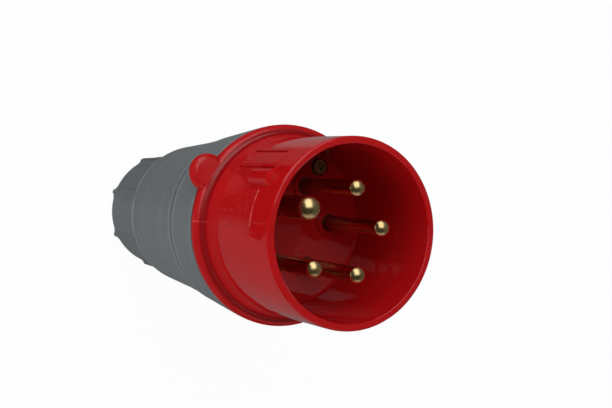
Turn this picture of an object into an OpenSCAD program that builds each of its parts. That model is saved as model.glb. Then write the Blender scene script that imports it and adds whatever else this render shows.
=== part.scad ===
// Industrial pin and sleeve plug, 16 A size with five pins: a round keyed shroud with a flange,
// a contact carrier with turned brass pins, a hollow tapered handle and a ribbed gland nut.
// The plug stands on the flat end of its gland nut. Z is the plug's axis and +Z points out of
// the mouth. The key, the ear and the earth pin lie towards -Y. Lengths are in millimetres.

/* [Lengths along the axis] */
// Height of the gland nut
nut_h = 36.5; // [33:0.5:44]
// Gap between the tightened nut and the end of the handle
nut_gap = 0.7; // [0.4:0.1:1.5]
// Height of the handle, from its rear rim to its front face
handle_h = 76; // [70:0.2:90]
// Thickness of the flat gasket between the handle and the flange
gasket_t = 1; // [0.6:0.1:2]
// Thickness of the flange
flange_t = 3; // [2.4:0.1:4.5]
// Length of the shroud in front of the flange
shroud_h = 40.8; // [38:0.1:48]
// Depth of the mouth, from the lip to the floor
mouth_depth = 39.8; // [37:0.1:40.6]

/* [Shroud] */
// Outer radius of the shroud at its lip
lip_r = 28.5; // [27.8:0.1:29]
// Wall of the shroud at the lip
lip_wall = 2.2; // [1.6:0.1:2.4]
// Outer radius of the shroud where its root starts
root_r = 29; // [28.8:0.1:30]
// Height of the flared root between the shroud and the flange
root_h = 7.4; // [4:0.2:10]
// Outward growth of the flared root
root_flare = 1.1; // [0.6:0.1:1.4]
// Radius of the fillet between the root and the flange
root_fillet = 1.5; // [0.8:0.1:1.7]
// Distance from the lip to the step inside the bore
bore_step_drop = 16.8; // [12:0.2:24]
// Height of the step inside the bore
bore_step = 0.15; // [0.05:0.05:0.5]
// Draft of the bore, taken at the floor
bore_draft = 0.4; // [0.1:0.1:0.8]
// Rounding of the lip's outer edge
lip_round = 0.7; // [0.3:0.1:1]
// Rounding of the lip's inner edge
lip_inner_round = 0.4; // [0.2:0.1:0.6]
// Thickness of the floor
floor_t = 3.2; // [2.4:0.1:4]

/* [Flange and ear] */
// Radius of the flange
flange_r = 33.4; // [32.8:0.1:36]
// Rounding of the flange's front edge
flange_round = 1.8; // [0.6:0.1:2]
// Radius of the flat ear on the flange
ear_r = 6; // [4:0.1:6.4]
// Distance from the axis to the centre of the ear
ear_offset = 33.2; // [32:0.1:35]

/* [Key] */
// Angle from the earth pin to the key rib
key_turn = -3.2; // [-5:0.2:5]
// Half width of the key rib
key_r = 2.8; // [2.2:0.1:3.6]
// Height of the key rib above the lip's radius
key_rise = 2.3; // [1.8:0.1:3]
// Length of the key rib
key_len = 13; // [10:0.5:22]
// Distance from the lip to the key rib's front end
key_drop = 5.5; // [2:0.5:8]
// Bevel round the key rib's front end
key_bevel = 1.5; // [0.4:0.1:2]

/* [Bare label fields] */
// Angle from the earth pin to the middle of the framed field
field_turn = -18.3; // [-30:0.5:-17]
// Angle that the framed field spans
field_span = 16.5; // [12:0.5:18]
// Distance from the lip to the framed field
field_drop = 9.5; // [6:0.5:12]
// Length of the framed field along the axis
field_len = 23.5; // [14:0.5:24]
// Width of the raised line round the framed field
field_line = 1.1; // [0.4:0.1:1.4]
// Height of the raised line over the shroud
field_rise = 0.4; // [0.15:0.05:0.5]
// Angle from the earth pin to the middle of the raised panel
panel_turn = 16.8; // [14:0.2:30]
// Angle that the raised panel spans
panel_span = 22.6; // [12:0.2:24]
// Distance from the lip to the raised panel
panel_drop = 11.2; // [8:0.2:14]
// Length of the raised panel along the axis
panel_len = 22; // [14:0.5:22]
// Height of the raised panel over the shroud
panel_rise = 0.14; // [0.08:0.02:0.3]

/* [Pins] */
// Radius of a phase pin and of the neutral pin
pin_r = 2.5; // [2.3:0.1:2.7]
// Radius of the earth pin
earth_r = 3.5; // [3.2:0.1:3.7]
// Distance from the housing screws' circle in to the circle that the pins stand on
pin_in = 8.1; // [7.8:0.1:8.6]
// Angle from the earth pin to its two neighbours
near_turn = 79.5; // [74:0.5:82]
// Angle from the earth pin to the two far pins
far_turn = 144.5; // [142:0.5:148]
// Distance from the lip to the tip of a phase pin
pin_drop = 5.1; // [3:0.1:8]
// Distance from the lip to the tip of the earth pin
earth_drop = 3; // [1:0.1:6]
// Radius of the collar on the floor round a phase pin
boss_r = 4.3; // [3.8:0.1:4.5]
// Radius of the collar on the floor round the earth pin
earth_boss_r = 5.3; // [4.8:0.1:6]
// Height of the collars above the floor
boss_h = 1.2; // [0.6:0.1:2]
// Radial growth of a pin where it passes through the floor
neck_grow = 0.45; // [0.3:0.05:0.6]

/* [Terminals] */
// Radius of a phase pin's terminal barrel
barrel_r = 3.9; // [3.6:0.1:4]
// Radius of the earth pin's terminal barrel
earth_barrel_r = 4.7; // [4.4:0.1:5]
// Length of the terminal barrels behind the carrier plate
barrel_len = 20; // [17:0.5:24]
// Radius of the wire bore in a terminal
wire_r = 2.1; // [1.6:0.1:2.3]
// Depth of the wire bore
wire_depth = 12; // [9:0.5:15]
// Radius of a terminal screw's thread
clamp_screw_r = 1.75; // [1.4:0.05:2]
// Radius of a terminal screw's head
clamp_head_r = 3; // [2.6:0.1:3.4]
// Distance from the end of a terminal to its screw
clamp_screw_up = 4.5; // [3.8:0.1:6]

/* [Contact carrier] */
// Thickness of the carrier plate
plate_t = 5; // [4:0.1:7]
// Wall of the towers round the terminals
tower_wall = 2.4; // [1.6:0.1:2.6]
// Radius of the hub that joins the towers
hub_r = 8.6; // [8:0.1:9.5]
// Distance that a terminal stands out of its tower
barrel_proud = 1; // [0.4:0.1:2]

/* [Housing screws] */
// Distance from the collar's bore in to the circle of the two housing screws
screw_in = 4.4; // [4.3:0.1:5]
// Angle from the key to the first housing screw
screw_turn = 87; // [86:0.5:90]
// Radius of a housing screw's thread
screw_r = 1.6; // [1.4:0.05:1.75]
// Radius of a housing screw's head
screw_head_r = 2.8; // [2.6:0.1:3]
// Height of a housing screw's head
screw_head_h = 2; // [1.4:0.1:2.4]
// Length of a housing screw under its head
screw_len = 17; // [15:0.5:19]
// Depth of the recess for a screw's head in the floor
recess_depth = 1.2; // [0.8:0.1:1.4]

/* [Collar] */
// Distance from the flange's edge in to the collar that enters the handle
collar_in = 4.3; // [4.1:0.1:4.6]
// Wall of the collar
collar_wall = 2.4; // [1.8:0.1:2.6]
// Length of the collar behind the flange
collar_len = 15; // [10:0.5:17]

/* [Handle] */
// Overhang of the flange past the handle's front face
flange_over = 0.1; // [0.1:0.1:1]
// Outer radius of the handle where the grip step is
waist_r = 31; // [30.4:0.1:31.4]
// Outer radius of the handle's rear rim
rim_r = 27.7; // [26.6:0.1:28.6]
// Height from the rear rim to the grip step
grip_z = 48.6; // [40:0.2:54]
// Height of the grip step and of the lesser steps behind it
grip_step = 0.35; // [0.15:0.05:0.5]
// Number of lesser steps behind the grip step
grip_count = 3; // [1:1:5]
// Rounding of the rear rim
rim_round = 2; // [0.6:0.1:2.4]
// Wall of the handle
handle_wall = 2.6; // [2:0.1:2.8]
// Thickness of the handle's end wall
end_wall = 3.2; // [2.4:0.1:5]
// Radius of a screw pillar inside the handle
pillar_r = 2.9; // [2.7:0.1:3]
// Height of a screw pillar
pillar_h = 12; // [10:0.5:14]

/* [Gland] */
// Radius of the handle's spigot at the root of its thread
spigot_r = 19.8; // [19:0.1:20.1]
// Length of the spigot behind the handle's end
spigot_len = 24; // [20:0.5:26]
// Radius of the bore in the spigot
seat_r = 17; // [16.5:0.1:17.4]
// Radius of the cable passage through the handle's end wall
passage_r = 11; // [9:0.5:12.5]
// Radial room for the thread between the spigot and the nut's bore
thread_gap = 0.7; // [0.4:0.05:0.8]
// Height of the rubber cable seal
seal_h = 13; // [10:0.5:15]
// Radius of the cable bore in the seal
cable_r = 6.5; // [4.5:0.1:8]
// Radius of the cable opening of the clamp, washer and nut
entry_r = 11; // [9.5:0.1:12]
// Number of fingers of the cable clamp
finger_count = 10; // [6:1:14]
// Width of the slots between the fingers
finger_slot = 1.4; // [1:0.1:2]
// Thickness of the thrust washer
washer_t = 1.5; // [1:0.1:2.4]

/* [Gland nut] */
// Outer radius of the nut at its end
nut_r = 23.8; // [23:0.1:24.4]
// Outward growth of the nut's radius towards the handle
nut_flare = 0.4; // [0.2:0.1:0.8]
// Thickness of the nut's end wall
nut_wall = 4; // [3:0.1:5]
// Number of grip ribs round the nut
rib_count = 8; // [6:1:12]
// Angle of the first rib
rib_phase = 11; // [0:1:44]
// Height of the ribs above the nut's end radius
rib_rise = 1.6; // [1:0.1:2]
// Radius of the hollow on each side of a rib
rib_hollow = 2.2; // [1.4:0.1:3]
// Rounding of the nut's end edge
nut_round = 1; // [0.5:0.1:1.6]

/* [Hidden] */
$fn = 96;
fit_gap = 0.05;           // radial or axial gap of pieces that are assembled into each other
slide_gap = 0.15;         // gap round larger pieces that register in each other
over = 1;                 // overshoot of cuts past a face
handle_r = flange_r - flange_over;
collar_r = flange_r - collar_in;
rim_z = nut_h + nut_gap;
joint_z = rim_z + handle_h;
flange_z = joint_z + gasket_t;
face_z = flange_z + flange_t;
root_z = face_z + root_h;
lip_z = face_z + shroud_h;
floor_z = lip_z - mouth_depth;
floor_back_z = floor_z - floor_t;
plate_z = floor_back_z - plate_t;
barrel_z = plate_z - barrel_len;
collar_z = flange_z - collar_len;
bore_r = lip_r - lip_wall;
floor_r = bore_r - bore_step - bore_draft;
collar_bore_r = collar_r - collar_wall;
screw_circle_r = collar_bore_r - screw_in;
pin_circle_r = screw_circle_r - pin_in;
recess_r = screw_head_r + 0.4;
spigot_z = rim_z - spigot_len;
seal_top_z = rim_z - end_wall * 2;
seal_z = seal_top_z - seal_h;
washer_z = nut_wall + fit_gap;
clamp_z = washer_z + washer_t + fit_gap;
slit = 0.9;               // width of the cross recess of a screw
pin_turns = [-near_turn, -far_turn, far_turn, near_turn];
screw_turns = [-screw_turn, 180 - screw_turn];

// Points of an arc round c from angle a to angle b
function arc(c, r, a, b, n = 8) =
    [for (i = [0:n]) let (t = a + (b - a) * i / n) c + r * [cos(t), sin(t)]];

// Outer radius of the shroud at a height, which grows from the lip to the root
function barrel_at(z) = lip_r + (root_r - lip_r) * (lip_z - z) / (lip_z - root_z);

// Points from the flange's face through the hollow fillet and the flared root to the shroud
function root_points() =
    let (foot_r = root_r + root_flare, r = min(root_fillet, flange_r - flange_round - foot_r))
        concat(arc([foot_r + r, face_z + r], r, 270, 180, 5), [[root_r, root_z]]);

// Turns its children to an angle counted from the key and moves them out from the axis
module at(turn, r) {
    rotate(turn - 90) translate([r, 0, 0]) children();
}

// Material within a wedge of the given span, centred on the angle counted from the key
module wedge(turn, span, low, high) {
    reach = 2 * flange_r;
    rotate(turn - 90) translate([0, 0, low]) linear_extrude(high - low)
        polygon([[0, 0], reach * [cos(span / 2), -sin(span / 2)], reach * [1, 0],
                 reach * [cos(span / 2), sin(span / 2)]]);
}

// ---- Shroud ----

module shroud_outline() {
    polygon(concat(
        [[0, collar_z], [collar_r - 0.5, collar_z], [collar_r, collar_z + 0.5], [collar_r, flange_z],
         [flange_r - 0.4, flange_z], [flange_r, flange_z + 0.4]],
        arc([flange_r - flange_round, face_z - flange_round], flange_round, 0, 90, 6),
        root_points(),
        arc([lip_r - lip_round, lip_z - lip_round], lip_round, 0, 90, 4),
        [[0, lip_z]]));
}

module mouth_outline() {
    step_z = lip_z - bore_step_drop;
    polygon(concat(
        [[0, floor_z], [floor_r - 0.6, floor_z], [floor_r, floor_z + 0.6],
         [bore_r - bore_step, step_z], [bore_r - bore_step / 3, step_z + 2 * bore_step]],
        arc([bore_r + lip_inner_round, lip_z - lip_inner_round], lip_inner_round, 180, 90, 4),
        [[bore_r + lip_inner_round, lip_z + over], [0, lip_z + over]]));
}

module key_rib() {
    front_z = lip_z - key_drop;
    at(key_turn, lip_r + key_rise - key_r) translate([0, 0, front_z - key_len]) {
        cylinder(r = key_r, h = key_len - key_bevel);
        translate([0, 0, key_len - key_bevel])
            cylinder(r1 = key_r, r2 = key_r - key_bevel, h = key_bevel);
    }
}

// A raised patch on the shroud's outside
module raised_patch(turn, span, low, high, rise) {
    intersection() {
        translate([0, 0, low]) difference() {
            cylinder(r1 = barrel_at(low) + rise, r2 = barrel_at(high) + rise, h = high - low);
            translate([0, 0, -over]) cylinder(r = bore_r + 0.5, h = high - low + 2 * over);
        }
        wedge(turn, span, low, high);
    }
}

// Raised line round the framed field
module field_frame() {
    high = lip_z - field_drop;
    low = high - field_len;
    line_turn = field_line / root_r * 180 / PI;
    difference() {
        raised_patch(field_turn, field_span, low, high, field_rise);
        wedge(field_turn, field_span - 2 * line_turn, low + field_line, high - field_line);
    }
}

module label_panel() {
    high = lip_z - panel_drop;
    raised_patch(panel_turn, panel_span, high - panel_len, high, panel_rise);
}

// The flat ear, whose face lies a hair below the flange's
module ear() {
    high = flange_t - fit_gap;
    at(0, ear_offset) translate([0, 0, flange_z]) rotate_extrude($fn = 48) polygon(concat(
        [[0, 0], [ear_r - 0.4, 0], [ear_r, 0.4]],
        arc([ear_r - flange_round, high - flange_round], flange_round, 0, 90, 4),
        [[0, high]]));
}

module pin_bosses() {
    for (turn = pin_turns)
        at(turn, pin_circle_r) translate([0, 0, floor_z - floor_t / 2])
            cylinder(r = boss_r, h = floor_t / 2 + boss_h);
    at(0, pin_circle_r) translate([0, 0, floor_z - floor_t / 2])
        cylinder(r = earth_boss_r, h = floor_t / 2 + boss_h);
}

module shroud() {
    color("crimson") difference() {
        union() {
            difference() {
                union() {
                    rotate_extrude() shroud_outline();
                    key_rib();
                }
                rotate_extrude() mouth_outline();
                translate([0, 0, collar_z - over])
                    cylinder(r = collar_bore_r, h = floor_back_z - collar_z + over);
            }
            field_frame();
            label_panel();
            ear();
            pin_bosses();
        }
        at(0, pin_circle_r) translate([0, 0, floor_back_z - over])
            cylinder(r = earth_r + neck_grow + fit_gap, h = floor_t + boss_h + 2 * over);
        for (turn = pin_turns)
            at(turn, pin_circle_r) translate([0, 0, floor_back_z - over])
                cylinder(r = pin_r + neck_grow + fit_gap, h = floor_t + boss_h + 2 * over);
        for (turn = screw_turns) at(turn, screw_circle_r) {
            translate([0, 0, floor_back_z - over])
                cylinder(r = screw_r + slide_gap, h = floor_t + over, $fn = 48);
            translate([0, 0, floor_z - recess_depth])
                cylinder(r = recess_r, h = screw_head_h + over, $fn = 48);
        }
    }
}

// ---- Contacts ----

// A turned pin: domed shank, neck through the floor and terminal barrel behind the plate
module contact(turn, shank_r, drop, term_r) {
    dome_z = lip_z - drop - shank_r;
    boss_z = floor_z + boss_h;
    at(turn, pin_circle_r) difference() {
        rotate_extrude() intersection() {
            union() {
                translate([0, dome_z]) circle(r = shank_r);
                translate([0, boss_z]) square([shank_r, dome_z - boss_z]);
                translate([0, barrel_z]) square([shank_r + neck_grow, boss_z - barrel_z]);
                translate([0, barrel_z]) square([term_r, floor_back_z - fit_gap - barrel_z]);
            }
            translate([0, barrel_z]) square([term_r, lip_z - barrel_z]);
        }
        translate([0, 0, barrel_z - over]) cylinder(r = wire_r, h = wire_depth + over);
        translate([0, 0, barrel_z + clamp_screw_up]) rotate([0, 90, 0])
            cylinder(r = clamp_screw_r + fit_gap, h = term_r + over);
    }
}

module phase_contact(i) {
    color("goldenrod") contact(pin_turns[i], pin_r, pin_drop, barrel_r);
}

module earth_pin() {
    color("goldenrod") contact(0, earth_r, earth_drop, earth_barrel_r);
}

// A screw with its head's seat at the origin and its shaft along -Z
module cross_screw(r, head_r, head_h, len) {
    difference() {
        union() {
            translate([0, 0, -len]) cylinder(r = r, h = len + head_h / 2);
            cylinder(r1 = head_r, r2 = head_r - 0.5, h = head_h);
        }
        for (turn = [0, 90]) rotate(turn)
            translate([-head_r * 0.6, -slit / 2, head_h * 0.4])
                cube([head_r * 1.2, slit, head_h]);
    }
}

module clamp_screw(turn, term_r) {
    at(turn, pin_circle_r) translate([term_r + 0.6, 0, barrel_z + clamp_screw_up])
        rotate([0, 90, 0]) cross_screw(clamp_screw_r, clamp_head_r, 2, term_r - wire_r + 1.6);
}

module terminal_screws() {
    color("silver") {
        clamp_screw(0, earth_barrel_r);
        for (turn = pin_turns) clamp_screw(turn, barrel_r);
    }
}

// ---- Contact carrier ----

module tower(turn, term_r) {
    at(turn, pin_circle_r) translate([0, 0, barrel_z + barrel_proud])
        cylinder(r = term_r + tower_wall, h = barrel_len - barrel_proud + plate_t / 2);
}

// Room for a terminal and its screw, with a window for the screwdriver
module terminal_pocket(turn, term_r) {
    window_r = clamp_head_r + 0.4;
    at(turn, pin_circle_r) {
        translate([0, 0, barrel_z]) cylinder(r = term_r + fit_gap, h = barrel_len + plate_t + over);
        translate([term_r / 2, -window_r, barrel_z])
            cube([term_r + tower_wall, 2 * window_r, clamp_screw_up + window_r]);
    }
}

module contact_carrier() {
    color("dimgray") difference() {
        union() {
            translate([0, 0, plate_z]) cylinder(r = collar_bore_r - slide_gap, h = plate_t);
            translate([0, 0, barrel_z + 2 * barrel_proud])
                cylinder(r = hub_r, h = barrel_len - 2 * barrel_proud + plate_t / 2);
            tower(0, earth_barrel_r);
            for (turn = pin_turns) tower(turn, barrel_r);
        }
        terminal_pocket(0, earth_barrel_r);
        for (turn = pin_turns) terminal_pocket(turn, barrel_r);
        translate([0, 0, barrel_z]) cylinder(r = hub_r - tower_wall, h = barrel_len);
        for (turn = screw_turns) at(turn, screw_circle_r) {
            translate([0, 0, plate_z - over])
                cylinder(r = screw_r + slide_gap, h = plate_t + 2 * over);
            translate([0, 0, barrel_z]) cylinder(r = pillar_r + 0.3, h = barrel_len);
        }
    }
}

module housing_screws() {
    color("gold") for (turn = screw_turns)
        at(turn, screw_circle_r) translate([0, 0, floor_z - recess_depth])
            rotate(45) cross_screw(screw_r, screw_head_r, screw_head_h, screw_len);
}

// ---- Handle ----

// Outer radius of the handle's tapered grip at a height above the rear rim
function grip_r(h) = rim_r + (waist_r - grip_step - rim_r) * pow(h / grip_z, 1.5);

// Steps of the grip: each ring is a little larger towards the rear than the taper before it
function grip_steps() =
    [for (i = [1:grip_count]) let (h = grip_z * (0.55 + 0.38 * i / grip_count))
        each [[grip_r(h) - grip_step / 4, h - 0.25], [grip_r(h) + grip_step / 4, h + 0.25]]];

module handle_outline() {
    translate([0, rim_z]) polygon(concat(
        [[0, 0]],
        arc([rim_r - rim_round, rim_round], rim_round, -90, 0, 6),
        grip_steps(),
        [[waist_r - grip_step, grip_z - 0.4], [waist_r - grip_step * 0.6, grip_z],
         [waist_r, grip_z + 0.4], [handle_r, handle_h - 0.5], [handle_r - 0.5, handle_h],
         [0, handle_h]]));
}

module handle_hollow() {
    socket_r = collar_r + slide_gap;
    socket_z = collar_z - rim_z - over;
    translate([0, rim_z]) polygon([
        [0, end_wall], [rim_r - handle_wall - end_wall, end_wall],
        [rim_r - handle_wall, 2 * end_wall],
        [waist_r - grip_step - handle_wall, grip_z], [waist_r - handle_wall, socket_z],
        [socket_r, socket_z + 0.6], [socket_r, handle_h + over], [0, handle_h + over]]);
}

// A pillar for a housing screw, with a web to the handle's wall
module pillar(turn) {
    top_z = plate_z - fit_gap;
    reach = collar_bore_r - slide_gap - screw_circle_r;
    at(turn, screw_circle_r) translate([0, 0, top_z - pillar_h]) {
        cylinder(r = pillar_r, h = pillar_h);
        translate([0, -1.2, 0]) cube([reach, 2.4, pillar_h]);
    }
    intersection() {
        at(turn, screw_circle_r) translate([0, -1.2, top_z - pillar_h])
            cube([handle_r - screw_circle_r, 2.4, collar_z - over - (top_z - pillar_h)]);
        translate([0, 0, rim_z]) cylinder(r = waist_r - 0.8, h = handle_h);
    }
}

module rear_housing() {
    color("slategray") difference() {
        union() {
            rotate_extrude() difference() {
                handle_outline();
                handle_hollow();
            }
            translate([0, 0, spigot_z]) cylinder(r = spigot_r, h = spigot_len + end_wall / 2);
            for (turn = screw_turns) pillar(turn);
        }
        translate([0, 0, spigot_z - over]) cylinder(r = seat_r, h = seal_top_z - spigot_z + over);
        translate([0, 0, spigot_z]) cylinder(r = passage_r, h = spigot_len + end_wall + over);
        for (turn = screw_turns) at(turn, screw_circle_r)
            translate([0, 0, plate_z - pillar_h + 1])
                cylinder(r = screw_r + fit_gap, h = pillar_h);
    }
}

module flange_gasket() {
    color("black") translate([0, 0, joint_z]) difference() {
        cylinder(r = handle_r - 0.3, h = gasket_t);
        translate([0, 0, -over]) cylinder(r = collar_r + slide_gap, h = gasket_t + 2 * over);
    }
}

// ---- Gland ----

module cable_seal() {
    color("black") rotate_extrude() difference() {
        polygon([[0, seal_z], [seat_r - slide_gap, seal_z], [seat_r - slide_gap, seal_top_z - 2],
                 [seat_r - 2, seal_top_z], [0, seal_top_z]]);
        translate([0, seal_z - over]) square([cable_r, seal_h + 2 * over]);
        polygon([[0, seal_z - over], [cable_r + 2, seal_z - over], [cable_r + 2, seal_z],
                 [cable_r, seal_z + 1.5], [0, seal_z + 1.5]]);
    }
}

// Ring of fingers that closes on the cable when the nut pushes the washer
module cable_clamp() {
    clamp_r = seat_r - slide_gap;
    band = 2.5;
    cone = 2 * washer_t;
    color("dimgray") difference() {
        rotate_extrude() polygon([
            [entry_r, clamp_z], [clamp_r - washer_t, clamp_z], [clamp_r, clamp_z + cone],
            [clamp_r, seal_z - fit_gap], [entry_r - 1, seal_z - fit_gap], [entry_r - 1, clamp_z + cone]]);
        for (i = [0:finger_count - 1]) rotate(360 * i / finger_count)
            translate([entry_r - 2, -finger_slot / 2, clamp_z - over])
                cube([clamp_r, finger_slot, seal_z - clamp_z - band + over]);
    }
}

module thrust_washer() {
    color("silver") translate([0, 0, washer_z]) difference() {
        cylinder(r = spigot_r + thread_gap - slide_gap, h = washer_t);
        translate([0, 0, -over]) cylinder(r = entry_r, h = washer_t + 2 * over);
    }
}

// A grip rib in plan: a blunt ridge with a hollow on each side
module rib_plan() {
    tip = 0.35;
    tip_r = nut_r + rib_rise;
    foot_r = nut_r - slide_gap;
    difference() {
        translate([foot_r - 2, -tip - rib_hollow]) square([tip_r - foot_r + 2, 2 * (tip + rib_hollow)]);
        for (side = [-1, 1]) translate([foot_r + rib_hollow, side * (tip + rib_hollow)])
            circle(r = rib_hollow);
    }
}

// Turned outside of the nut, with room for the ribs where grow is above zero
module nut_outline(grow) {
    high_r = nut_r + nut_flare + grow;
    polygon(concat(
        [[0, 0], [nut_r + grow - nut_round, 0]],
        arc([nut_r + grow - nut_round, nut_round], nut_round, -90, 0, 5),
        [[high_r, nut_h - 0.6], [high_r - 0.6, nut_h], [0, nut_h]]));
}

module gland_nut() {
    color("slategray") difference() {
        union() {
            rotate_extrude() nut_outline(0);
            intersection() {
                rotate_extrude() nut_outline(rib_rise - nut_flare);
                for (i = [0:rib_count - 1]) rotate(rib_phase + 360 * i / rib_count)
                    linear_extrude(nut_h) rib_plan();
            }
        }
        translate([0, 0, nut_wall]) cylinder(r = spigot_r + thread_gap, h = nut_h);
        translate([0, 0, -over]) cylinder(r = entry_r, h = nut_h);
        translate([0, 0, -fit_gap]) cylinder(r1 = entry_r + 1.5, r2 = entry_r, h = 1.5);
        translate([0, 0, nut_h - 1])
            cylinder(r1 = spigot_r + thread_gap, r2 = spigot_r + thread_gap + 1, h = 1 + fit_gap);
    }
}

shroud();
contact_carrier();
earth_pin();
phase_contact(0);  // pin_l1
phase_contact(1);  // pin_l2
phase_contact(2);  // pin_l3
phase_contact(3);  // pin_neutral
terminal_screws();
housing_screws();
flange_gasket();
rear_housing();
cable_seal();
cable_clamp();
thrust_washer();
gland_nut();
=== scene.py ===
# Industrial pin and sleeve plug: finishes, threads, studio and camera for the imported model.
import bpy
import bmesh
import math
from mathutils import Matrix, Vector


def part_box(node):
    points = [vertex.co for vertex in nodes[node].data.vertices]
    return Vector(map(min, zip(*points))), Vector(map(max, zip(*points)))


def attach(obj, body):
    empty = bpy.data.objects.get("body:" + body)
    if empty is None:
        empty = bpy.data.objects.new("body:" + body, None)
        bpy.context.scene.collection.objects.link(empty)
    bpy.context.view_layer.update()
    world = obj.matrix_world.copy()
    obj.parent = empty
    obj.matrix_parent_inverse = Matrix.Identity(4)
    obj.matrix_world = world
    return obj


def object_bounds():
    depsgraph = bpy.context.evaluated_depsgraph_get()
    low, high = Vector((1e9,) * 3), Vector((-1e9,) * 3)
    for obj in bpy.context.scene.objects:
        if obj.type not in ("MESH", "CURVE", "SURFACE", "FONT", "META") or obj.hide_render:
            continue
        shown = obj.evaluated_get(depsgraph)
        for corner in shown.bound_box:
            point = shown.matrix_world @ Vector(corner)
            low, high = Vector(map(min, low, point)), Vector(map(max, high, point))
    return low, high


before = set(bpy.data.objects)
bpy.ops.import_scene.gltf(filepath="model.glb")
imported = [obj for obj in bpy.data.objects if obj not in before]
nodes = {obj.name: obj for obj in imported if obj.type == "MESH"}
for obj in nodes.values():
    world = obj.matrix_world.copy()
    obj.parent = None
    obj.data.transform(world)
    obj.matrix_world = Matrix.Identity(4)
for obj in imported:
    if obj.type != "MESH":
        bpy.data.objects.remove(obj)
cad_low, cad_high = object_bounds()
MM = 0.001
lip = cad_high.z                # height of the shroud's front edge
middle = (cad_low + cad_high) / 2

# Places on the shroud: distances in mm behind the lip, and turns in degrees from the earth pin.
BARREL_END = 33.6
FLANGE_START = 39               # where the fillet from the root to the flange begins
PANEL_FRONT, PANEL_END = 11.2, 33.2
PANEL_LEFT, PANEL_RIGHT = 5.5, 28.1
FIELD_FRONT = 19
FIELD_LEFT, FIELD_RIGHT = -27, 6
MOUTH_R, SKIN_R = 27.0 * MM, 27.6 * MM          # radii just inside and outside the mouth's wall

# The gland's thread.
THREAD_PITCH = 2.5 * MM
SPIGOT_ROOT, SPIGOT_CREST = 19.8 * MM, 20.3 * MM
NUT_ROOT, NUT_CREST = 20.5 * MM, 20.0 * MM

# The lens: its directions, its place in metres and its length in mm.
VIEW_BACK = Vector((0.22520959, -0.43564118, 0.87149148))
VIEW_UP = Vector((-0.8555906, -0.51632894, -0.03700201))
VIEW_RIGHT = VIEW_UP.cross(VIEW_BACK)
LENS_PLACE = Vector((0.05799, -0.12875, 0.37808))
LENS_LENGTH = 52.94

SQUARE = ((-1, -1), (1, -1), (1, 1), (-1, 1))


# ---------------------------------------------------------------- node helpers

def wire_or_colour(value):
    """A node's output stays as it is; a colour or a plain number becomes a colour of four parts."""
    if isinstance(value, bpy.types.NodeSocket):
        return value
    return (*value, 1) if isinstance(value, tuple) else (value, value, value, 1)


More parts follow.
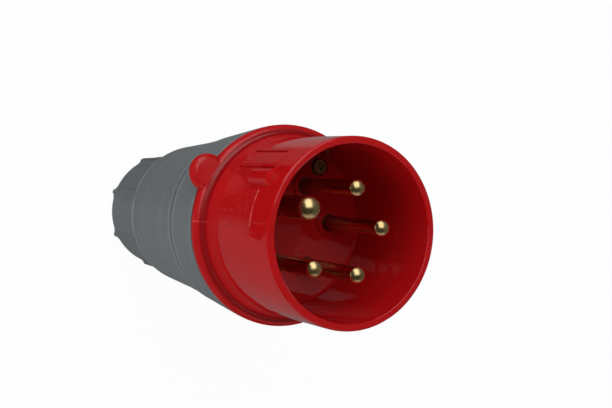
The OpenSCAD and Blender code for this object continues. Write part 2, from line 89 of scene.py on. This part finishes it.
class Finish:
    """A material under construction, with short ways to add and join its nodes."""

    def __init__(self, name, **sockets):
        self.material = bpy.data.materials.new(name)
        self.material.use_nodes = True
        self.tree = self.material.node_tree
        self.shader = self.tree.nodes["Principled BSDF"]
        for socket, value in sockets.items():
            self.shader.inputs[socket.replace("_", " ")].default_value = value
        self.place = self.tree.nodes.new("ShaderNodeTexCoord").outputs["Object"]

    def node(self, kind, inputs=(), **settings):
        made = self.tree.nodes.new(kind)
        for name, value in settings.items():
            setattr(made, name, value)
        for key, value in dict(inputs).items():
            if isinstance(value, bpy.types.NodeSocket):
                self.tree.links.new(value, made.inputs[key])
            else:
                made.inputs[key].default_value = value
        return made

    def math(self, operation, a, b=0.0):
        return self.node("ShaderNodeMath", {0: a, 1: b}, operation=operation).outputs[0]

    def vector(self, operation, inputs, output="Vector"):
        made = self.node("ShaderNodeVectorMath", inputs, operation=operation)
        return made.outputs[output]

    def slope(self, value, start, stop, first, last):
        """Goes from first to last while the value goes from start to stop, and is level outside."""
        keys = {"Value": value, "From Min": start, "From Max": stop, "To Min": first, "To Max": last}
        return self.node("ShaderNodeMapRange", keys, clamp=True).outputs[0]

    def round_axis(self):
        """Turn from the earth pin in degrees, height in metres and radius in metres."""
        x, y, z = self.node("ShaderNodeSeparateXYZ", {0: self.place}).outputs
        turned = self.math("ARCTAN2", x, self.math("MULTIPLY", y, -1.0))
        turn = self.math("MULTIPLY", turned, 180 / math.pi)
        squares = self.math("ADD", self.math("POWER", x, 2.0), self.math("POWER", y, 2.0))
        return turn, z, self.math("SQRT", squares)

    def window(self, value, low, high, soft):
        """1 where the value lies from low to high, falling to 0 within soft outside."""
        away = self.math("ABSOLUTE", self.math("SUBTRACT", value, (low + high) / 2))
        half = (high - low) / 2
        return self.slope(away, half, half + soft, 1.0, 0.0)

    def behind_lip(self, height, near, far, soft):
        """1 between two distances behind the lip, falling to 0 within soft outside, all in mm."""
        return self.window(height, lip - far * MM, lip - near * MM, soft * MM)

    def both(self, *masks):
        whole = masks[0]
        for mask in masks[1:]:
            whole = self.math("MULTIPLY", whole, mask)
        return whole

    def stretch(self, scale, turn=(0, 0, 0)):
        """The object's coordinates, stretched and turned."""
        keys = {"Vector": self.place, "Scale": scale, "Rotation": turn}
        return self.node("ShaderNodeMapping", keys).outputs["Vector"]

    def noise(self, per_metre, detail=3.0, roughness=0.55, where=None, distortion=0.0):
        keys = {"Vector": where or self.place, "Scale": per_metre, "Detail": detail,
                "Roughness": roughness, "Distortion": distortion}
        return self.node("ShaderNodeTexNoise", keys).outputs["Fac"]

    def ramp(self, value, stops):
        """Maps a value through stops of (place, colour or number)."""
        made = self.node("ShaderNodeValToRGB", {"Fac": value})
        elements = made.color_ramp.elements
        while len(elements) < len(stops):
            elements.new(0.5)
        for element, (place, level) in zip(elements, stops):
            element.position = place
            element.color = wire_or_colour(level)
        return made.outputs["Color"]

    def blend(self, factor, a, b):
        """Colour or number a where the factor is 0, and b where it is 1."""
        keys = {0: factor, 6: wire_or_colour(a), 7: wire_or_colour(b)}
        return self.node("ShaderNodeMix", keys, data_type="RGBA").outputs[2]

    def bump(self, height, strength, distance, under=None):
        keys = {"Height": height, "Strength": strength, "Distance": distance}
        if under is not None:
            keys["Normal"] = under
        return self.node("ShaderNodeBump", keys).outputs["Normal"]

    def flatter_end(self, share):
        """Normals leaned towards the Z axis wherever the surface faces up it, as on a flatter dome."""
        axis = self.node("ShaderNodeVectorTransform", {"Vector": (0, 0, 1)}, vector_type="NORMAL",
                         convert_from="OBJECT", convert_to="WORLD").outputs[0]
        normal = self.tree.nodes.new("ShaderNodeNewGeometry").outputs["Normal"]
        facing = self.vector("DOT_PRODUCT", {0: normal, 1: axis}, "Value")
        lean = self.vector("SCALE", {0: axis, "Scale": self.slope(facing, 0.02, 0.1, 0.0, share)})
        return self.vector("NORMALIZE", {0: self.vector("ADD", {0: normal, 1: lean})})

    def wear(self, colour, roughness, normal):
        for name, value in (("Base Color", colour), ("Roughness", roughness), ("Normal", normal)):
            self.tree.links.new(value, self.shader.inputs[name])
        return self.material


def cover(name, finish):
    """Puts a finish on a CAD node."""
    slots = nodes[name].material_slots
    for slot in slots:
        slot.material = finish
    if not slots:
        nodes[name].data.materials.append(finish)


# ------------------------------------------------------------------- finishes

def moulded_red():
    """Glossy red polyamide: mirror smooth barrel, satin flange, stippled fields with painted glints,
    pale lines painted as highlights on the panel's edge and the parting line, and painted shade in the
    groove.
    """
    f = Finish("red_polyamide", Specular_IOR_Level=0.5)
    turn, height, radius = f.round_axis()
    outside = f.window(radius, SKIN_R, 60 * MM, 0.1 * MM)
    inside = f.window(radius, 0.0, MOUTH_R, 0.1 * MM)
    barrel = f.behind_lip(height, 0, BARREL_END, 0.3)
    panel = f.both(outside, f.window(turn, PANEL_LEFT, PANEL_RIGHT, 0.2),
                   f.behind_lip(height, PANEL_FRONT, PANEL_END, 0.1))
    stipple = f.both(outside, f.window(turn, FIELD_LEFT, FIELD_RIGHT, 2.0),
                     f.behind_lip(height, FIELD_FRONT, PANEL_END, 2))
    field = f.math("MAXIMUM", panel, stipple)

    clouds = f.noise(38, 4, 0.6, distortion=0.6)
    colour = f.ramp(clouds, [(0.3, (0.405, 0.0045, 0.006)), (0.7, (0.46, 0.006, 0.0075))])
    specks = f.ramp(f.noise(2600, 2, 0.5), [(0.68, 0.0), (0.76, 0.35)])
    colour = f.blend(specks, colour, (0.50, 0.03, 0.03))
    # Painted glints: lighter specks in the stippled fields.
    glints = f.both(field, f.ramp(f.noise(1250, 2, 0.7), [(0.60, 0.0), (0.70, 0.55)]))
    colour = f.blend(glints, colour, (0.62, 0.07, 0.06))

    # Broken pale lines on the panel's front edge and on the parting line on the flange: painted
    # highlights where these edges catch light.
    broken = f.ramp(f.noise(600, 2, 0.5), [(0.42, 0.15), (0.55, 0.8)])
    panel_edge = f.both(outside, f.window(turn, PANEL_LEFT, 28, 0.2),
                        f.behind_lip(height, PANEL_FRONT - 0.1, PANEL_FRONT + 0.1, 0.05), broken)
    parting = f.both(outside, f.window(turn, 27.7, PANEL_RIGHT, 0.15),
                     f.behind_lip(height, FLANGE_START, FLANGE_START + 3, 1), broken)
    pale = f.math("MAXIMUM", panel_edge, f.both(parting, 0.55))
    colour = f.blend(pale, colour, (0.75, 0.16, 0.13))

    # Painted shade: darker red in the groove at the foot of the root, where the concave groove lies in
    # shade.
    groove = f.both(f.window(radius, 29.6 * MM, 31.4 * MM, 0.7 * MM),
                    f.behind_lip(height, FLANGE_START + 0.4, FLANGE_START + 2.5, 0.6))
    painted_groove_shade = f.both(groove, f.ramp(clouds, [(0.2, 0.45), (0.8, 0.7)]))
    colour = f.blend(painted_groove_shade, colour, (0.13, 0.001, 0.002))

    polished = f.ramp(f.noise(120, 3, 0.6), [(0.35, 0.03), (0.7, 0.06)])
    scratches = f.noise(900, 2, 0.6, where=f.stretch((1.6, 0.9, 0.05), (0.35, 0.2, 0.1)))
    polished = f.blend(f.ramp(scratches, [(0.60, 0.0), (0.66, 1.0)]), polished, 0.12)
    rough = f.blend(f.math("MAXIMUM", barrel, inside), 0.2, polished)
    rough = f.blend(field, rough, 0.15)

    ripple = f.bump(f.noise(95, 2, 0.4), 0.15, 0.2 * MM)
    skin = f.bump(f.noise(1500, 2, 0.5), 0.04, 0.03 * MM, ripple)
    relief = f.both(field, f.noise(1500, 3, 0.7))
    return f.wear(colour, rough, f.bump(relief, 0.35, 0.1 * MM, skin))


def moulded_grey():
    """Satin grey polyamide: fine spark grain, paler rubbed patches, and painted highlight and shade
    lines round the grip, the rim and the nut.
    """
    f = Finish("grey_polyamide", Specular_IOR_Level=0.45)
    clouds = f.noise(30, 4, 0.6, distortion=0.4)
    colour = f.ramp(clouds, [(0.3, (0.143, 0.160, 0.168)), (0.7, (0.161, 0.178, 0.186))])
    rubbed = f.ramp(f.noise(210, 5, 0.7), [(0.58, 0.0), (0.72, 0.5)])
    colour = f.blend(rubbed, colour, (0.185, 0.201, 0.208))

    # Painted highlights and shade round the handle, as (distance behind the lip, half width, share):
    # pale lines where the rim and the grip's steps catch light, dark lines beside the steps and on the
    # nut's top next to the rim, where shade falls; the widest dark band is the nut, a little darker
    # all over.
    painted_highlight_bands = ((118.9, 1.9, 1.0), (104.5, 0.7, 0.2), (81.5, 0.7, 0.25), (69.5, 0.5, 0.7),
                  (64.5, 0.5, 0.65))
    painted_shade_bands = ((115.5, 1.5, 0.2), (67.0, 1.2, 0.25), (150.0, 28.7, 0.14), (124.0, 2.7, 0.25))
    height = f.round_axis()[1]
    uneven = f.ramp(f.noise(70, 2, 0.5), [(0.35, 0.45), (0.6, 1.0)])
    for bands, tone, soft in ((painted_highlight_bands, (0.24, 0.258, 0.265), 0.6),
                              (painted_shade_bands, (0.05, 0.057, 0.062), 0.5)):
        for drop, half, share in bands:
            band = f.behind_lip(height, drop - half, drop + half, soft)
            colour = f.blend(f.both(band, uneven, share), colour, tone)

    rough = f.ramp(f.noise(140, 3, 0.6), [(0.3, 0.42), (0.7, 0.54)])
    grain = f.bump(f.noise(2200, 3, 0.6), 0.25, 0.06 * MM)
    return f.wear(colour, rough, f.bump(f.noise(60, 2, 0.5), 0.12, 0.15 * MM, grain))


def moulded_dark():
    """Dark polyamide of the hidden mouldings."""
    f = Finish("carrier_polyamide", Specular_IOR_Level=0.45)
    clouds = f.noise(60, 4, 0.6)
    colour = f.ramp(clouds, [(0.3, (0.045, 0.045, 0.05)), (0.7, (0.062, 0.062, 0.067))])
    rough = f.ramp(f.noise(180, 3, 0.6), [(0.3, 0.45), (0.7, 0.6)])
    return f.wear(colour, rough, f.bump(f.noise(1900, 3, 0.6), 0.3, 0.06 * MM))


def turned_brass(name, flatness):
    """Polished brass: faint lathe rings, a brown bloom, a few fine pits, and painted shade darkening
    the shank towards its foot.
    """
    f = Finish(name, Metallic=1.0)
    height = f.round_axis()[1]
    bloom = f.noise(260, 5, 0.65, distortion=0.5)
    colour = f.ramp(bloom, [(0.3, (0.68, 0.49, 0.21)), (0.55, (0.78, 0.58, 0.27)),
                            (0.8, (0.84, 0.66, 0.35))])
    pits = f.ramp(f.noise(1500, 3, 0.6), [(0.68, 0.0), (0.76, 0.5)])
    colour = f.blend(pits, colour, (0.36, 0.22, 0.09))
    # Painted shade: the shank turns dark reddish brown towards its foot, as shade and a reflection of
    # the red mouth deep inside it; the same mask makes it rougher.
    painted_foot_shade = f.slope(height, lip - 37 * MM, lip - 18 * MM, 1.0, 0.0)
    colour = f.blend(painted_foot_shade, colour, (0.24, 0.07, 0.035))
    rough = f.ramp(f.noise(420, 4, 0.6), [(0.3, 0.22), (0.75, 0.32)])
    rough = f.blend(f.window(height, 0.0, lip - 8 * MM, 0.5 * MM), rough, 0.1)
    rough = f.blend(painted_foot_shade, rough, 0.5)
    rings = f.noise(1.0, 3, 0.6, where=f.stretch((60, 60, 3200)))
    return f.wear(colour, rough, f.bump(rings, 0.12, 0.01 * MM, f.flatter_end(flatness)))


def yellow_zinc():
    """Yellow chromated screws: yellow with dull brown and rosy clouds."""
    f = Finish("yellow_zinc", Metallic=0.6)
    clouds = f.noise(420, 4, 0.6, distortion=1.0)
    colour = f.ramp(clouds, [(0.3, (0.17, 0.12, 0.04)), (0.5, (0.36, 0.27, 0.10)),
                             (0.72, (0.24, 0.14, 0.06))])
    rough = f.ramp(f.noise(900, 3, 0.6), [(0.3, 0.18), (0.7, 0.28)])
    return f.wear(colour, rough, f.bump(f.noise(2600, 3, 0.6), 0.3, 0.02 * MM))


def bright_zinc():
    """Bright zinc on stamped and turned steel."""
    f = Finish("zinc_steel", Metallic=1.0)
    clouds = f.noise(300, 4, 0.6, distortion=0.6)
    colour = f.ramp(clouds, [(0.3, (0.47, 0.48, 0.50)), (0.7, (0.62, 0.63, 0.64))])
    rough = f.ramp(f.noise(800, 3, 0.6), [(0.3, 0.28), (0.7, 0.45)])
    rings = f.noise(1.0, 3, 0.7, where=f.stretch((2500, 2500, 300)))
    return f.wear(colour, rough, f.bump(rings, 0.2, 0.02 * MM))


def black_rubber():
    """Matt moulded rubber with a faint grey bloom."""
    f = Finish("black_rubber", Specular_IOR_Level=0.3)
    bloom = f.noise(140, 5, 0.7, distortion=0.8)
    colour = f.ramp(bloom, [(0.35, (0.012, 0.012, 0.013)), (0.75, (0.03, 0.03, 0.031))])
    rough = f.ramp(f.noise(400, 3, 0.6), [(0.3, 0.62), (0.7, 0.8)])
    return f.wear(colour, rough, f.bump(f.noise(2400, 3, 0.6), 0.35, 0.05 * MM))


def cover_plug(grey):
    """Puts a finish on every CAD node; the threads share the grey one."""
    for finish, parts in (
            (moulded_red(), ["shroud"]),
            (grey, ["rear_housing", "gland_nut"]),
            (moulded_dark(), ["contact_carrier", "cable_clamp"]),
            (turned_brass("brass", 0.6), ["pin_l1", "pin_l2", "pin_l3", "pin_neutral"]),
            (turned_brass("earth_brass", 0.45), ["earth_pin"]),
            (yellow_zinc(), ["housing_screws"]),
            (bright_zinc(), ["terminal_screws", "thrust_washer"]),
            (black_rubber(), ["flange_gasket", "cable_seal"])):
        for part in parts:
            cover(part, finish)


# -------------------------------------------------------------------- threads

def thread_ridge(name, body, root_r, crest_r, start_z, rise, finish):
    """A round thread ridge: its section is spun up a helix and fades out at both ends."""
    bm = bmesh.new()
    foot, crest = 0.62 * MM, 0.2 * MM
    sunk_r = root_r - math.copysign(0.1 * MM, crest_r - root_r)
    section = [bm.verts.new((r, 0, start_z + z)) for r, z in
               ((sunk_r, -foot), (crest_r, -crest), (crest_r, crest), (sunk_r, foot))]
    edges = [bm.edges.new((section[i], section[(i + 1) % 4])) for i in range(4)]
    steps_a_turn = 72
    steps = int(steps_a_turn * rise / THREAD_PITCH)
    bmesh.ops.spin(bm, geom=section + edges, cent=(0, 0, 0), axis=(0, 0, 1),
                   dvec=(0, 0, THREAD_PITCH / steps_a_turn), angle=math.tau * steps / steps_a_turn,
                   steps=steps, use_merge=False, use_duplicate=False)
    fade = THREAD_PITCH / 3
    for vert in bm.verts:
        inside = min(vert.co.z - start_z, start_z + rise - vert.co.z) + foot
        share = min(1, max(0, inside / fade))
        radius = vert.co.xy.length
        reach = sunk_r + (radius - sunk_r) * share
        vert.co.xy = vert.co.xy * (reach / radius)
    bmesh.ops.holes_fill(bm, edges=[e for e in bm.edges if e.is_boundary], sides=0)
    bmesh.ops.recalc_face_normals(bm, faces=bm.faces)
    mesh = bpy.data.meshes.new(name)
    bm.to_mesh(mesh)
    bm.free()
    ridge = bpy.data.objects.new(name, mesh)
    bpy.context.scene.collection.objects.link(ridge)
    ridge.data.materials.append(finish)
    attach(ridge, body)


def add_threads(finish):
    """The coarse thread of the gland: a ridge on the spigot and one in the nut, half a pitch apart."""
    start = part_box("rear_housing")[0].z + 1.2 * MM
    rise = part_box("gland_nut")[1].z - 2.5 * MM - start
    half = THREAD_PITCH / 2
    thread_ridge("spigot_thread", "plug_body", SPIGOT_ROOT, SPIGOT_CREST, start, rise, finish)
    thread_ridge("nut_thread", "nut", NUT_ROOT, NUT_CREST, start + half, rise - half, finish)


# --------------------------------------------------------------------- studio

def studio_point(right, up, back):
    """A point in metres from the plug's middle, as the lens sees it."""
    return middle + VIEW_RIGHT * right + VIEW_UP * up + VIEW_BACK * back


def table_corner(turn, reach, height):
    """A point above the table in metres, turned from the plug's earth pin by degrees."""
    angle = math.radians(turn - 90)
    return Vector((reach * math.cos(angle), reach * math.sin(angle), cad_low.z + height))


def add_camera():
    data = bpy.data.cameras.new("camera")
    data.sensor_width = 36
    data.lens = LENS_LENGTH
    data.clip_start = 0.01
    camera = bpy.data.objects.new("camera", data)
    bpy.context.scene.collection.objects.link(camera)
    turn = Matrix((VIEW_RIGHT, VIEW_UP, VIEW_BACK)).transposed().to_4x4()
    camera.matrix_world = Matrix.Translation(LENS_PLACE) @ turn
    bpy.context.scene.camera = camera


def softbox(name, place, size, power):
    """A soft lamp that faces the plug, out of sight of the lens and of reflections."""
    data = bpy.data.lights.new(name, "AREA")
    data.shape = "RECTANGLE"
    data.size, data.size_y = size
    data.energy = power
    lamp = bpy.data.objects.new(name, data)
    lamp.location = place
    lamp.rotation_euler = (place - middle).to_track_quat("Z", "Y").to_euler()
    lamp.visible_camera = False
    lamp.visible_glossy = False
    bpy.context.scene.collection.objects.link(lamp)


def white_for_lens(tree, real, white, share, output):
    """Camera, glossy and transmission rays see a share of white; all other rays see the real."""
    path = tree.nodes.new("ShaderNodeLightPath")
    factor = path.outputs["Is Camera Ray"]
    for name in ("Is Glossy Ray", "Is Transmission Ray"):
        join = tree.nodes.new("ShaderNodeMath")
        join.operation = "MAXIMUM"
        tree.links.new(factor, join.inputs[0])
        tree.links.new(path.outputs[name], join.inputs[1])
        factor = join.outputs[0]
    scale = tree.nodes.new("ShaderNodeMath")
    scale.operation = "MULTIPLY"
    tree.links.new(factor, scale.inputs[0])
    scale.inputs[1].default_value = share
    mix = tree.nodes.new("ShaderNodeMixShader")
    for socket, source in zip(mix.inputs, (scale, real, white)):
        tree.links.new(source.outputs[0], socket)
    tree.links.new(mix.outputs[0], output)


def add_world():
    world = bpy.data.worlds.new("studio_air")
    world.use_nodes = True
    bpy.context.scene.world = world
    tree = world.node_tree
    ambient = tree.nodes["Background"]
    white = tree.nodes.new("ShaderNodeBackground")
    for air, strength in ((ambient, 0.4), (white, 1.0)):
        air.inputs["Color"].default_value = (1, 1, 1, 1)
        air.inputs["Strength"].default_value = strength
    white_for_lens(tree, ambient, white, 1.0, tree.nodes["World Output"].inputs["Surface"])


def stage_sheet(name, corners):
    """A flat sheet of the studio, with the nodes of its own new material."""
    mesh = bpy.data.meshes.new(name)
    bm = bmesh.new()
    bm.faces.new([bm.verts.new(corner) for corner in corners])
    bm.to_mesh(mesh)
    bm.free()
    sheet = bpy.data.objects.new(name, mesh)
    bpy.context.scene.collection.objects.link(sheet)
    material = bpy.data.materials.new(name)
    material.use_nodes = True
    mesh.materials.append(material)
    return sheet, material.node_tree


def add_floor():
    """A plain pale floor that takes the plug's shadow and that the lens sees as nearly white."""
    reach = 3.0
    tree = stage_sheet("floor", [(x * reach, y * reach, cad_low.z) for x, y in SQUARE])[1]
    paint = tree.nodes["Principled BSDF"]
    paint.inputs["Base Color"].default_value = (0.9, 0.9, 0.9, 1)
    paint.inputs["Roughness"].default_value = 0.9
    white = tree.nodes.new("ShaderNodeEmission")
    white_for_lens(tree, paint, white, 0.955, tree.nodes["Material Output"].inputs["Surface"])


def studio_card(name, corners, level):
    """Studio sheet that glows at its level and shows only in reflections, lighting nothing: level 0 is
    black and 1 is white.
    """
    card, tree = stage_sheet(name, corners)
    cloth = tree.nodes.new("ShaderNodeEmission")
    cloth.inputs["Color"].default_value = (level, level, level, 1)
    tree.links.new(cloth.outputs[0], tree.nodes["Material Output"].inputs["Surface"])
    card.visible_camera = False
    card.visible_diffuse = False
    card.visible_shadow = False
    card.visible_transmission = False


def highlight_card(name, place, width, height, level):
    """A glowing sheet that faces the plug: no lamp, it lights nothing and shows only as highlights in
    polished things.
    """
    facing = (place - middle).normalized()
    across = VIEW_UP.cross(facing).normalized()
    upright = facing.cross(across)
    corners = [place + across * (x * width / 2) + upright * (y * height / 2) for x, y in SQUARE]
    studio_card(name, corners, level)


def cover_table():
    """Cards on the table: dark all round, grey near the plug, and cloths at the key's side."""
    grey_edge, cloth_edge = 0.122, 0.45
    first, second, third = 0.0005, 0.001, 0.002         # heights of the layers
    whole = [table_corner(turn, 4.0, first) for turn in (45, 135, 225, 315)]
    studio_card("dark_floor", whole, 0.04)
    disc = [table_corner(turn, grey_edge, second) for turn in range(0, 360, 20)]
    studio_card("grey_table", disc, 0.16)
    near = table_corner(-22, 0.012, third)
    for name, turns, reach, level in (("black_cloth", (-47, -15, 15, 28.7), cloth_edge, 0.0),
                                      ("dark_cloth", (-80, -47), cloth_edge, 0.09),
                                      ("pale_table", (-150, -130, -105, -80), grey_edge, 0.21)):
        studio_card(name, [near] + [table_corner(turn, reach, third) for turn in turns], level)
    fold = ((26, 0.1035), (40.5, 0.1037), (44.4, 0.1103), (34.2, 0.1143), (26, 0.1143))
    studio_card("cloth_fold", [table_corner(turn, reach, third) for turn, reach in fold], 0.0)


def stand_flags():
    """Three black flags round the plug at the height of its mouth, for the flange and the ear."""
    reach, foot, top = 0.2, 0.09, 0.182
    for start, stop in ((-120, -25), (-25, 70), (70, 165)):
        corners = ((start, foot), (stop, foot), (stop, top), (start, top))
        studio_card("black_flag", [table_corner(turn, reach, z) for turn, z in corners], 0.0)


def close_room():
    """Dim walls: one behind the lens and four from its edges to beyond the plug."""
    wide, behind_lens, beyond_plug = 1.6, 1.3, -0.6
    near, far = ([studio_point(x * wide, y * wide, back) for x, y in SQUARE]
                 for back in (behind_lens, beyond_plug))
    studio_card("room_behind_lens", near, 0.03)
    sides = (("below", 0.42), ("right", 0.1), ("above", 0.12), ("left", 0.1))
    for i, (side, level) in enumerate(sides):
        k = (i + 1) % 4
        studio_card("room_" + side, [near[i], near[k], far[k], far[i]], level)


def light_plug():
    # Two glowing cards that paint highlights and light nothing, then the lamps.
    highlight_card("tall_highlight_card", studio_point(0.34, 0.54, 0.78), 0.75, 1.15, 1.5)
    highlight_card("side_highlight_card", studio_point(-0.71, 0.1, 0.7), 0.32, 0.6, 0.9)
    softbox("top_softbox", studio_point(-0.09, 0.58, 0.59), (0.8, 0.7), 2.6)
    softbox("left_softbox", studio_point(-0.85, 0.14, 0.28), (0.4, 0.7), 0.5)
    softbox("mouth_softbox", studio_point(0.27, 0.42, 0.82), (0.8, 0.6), 2.7)
    softbox("low_softbox", studio_point(-0.42, -0.8, 0.4), (0.6, 0.6), 3.1)


# ---------------------------------------------------------------------- making

grey_polyamide = moulded_grey()
cover_plug(grey_polyamide)
add_threads(grey_polyamide)
add_camera()
add_world()
add_floor()
cover_table()
close_room()
stand_flags()
light_plug()
bpy.context.scene.view_settings.view_transform = "Standard"
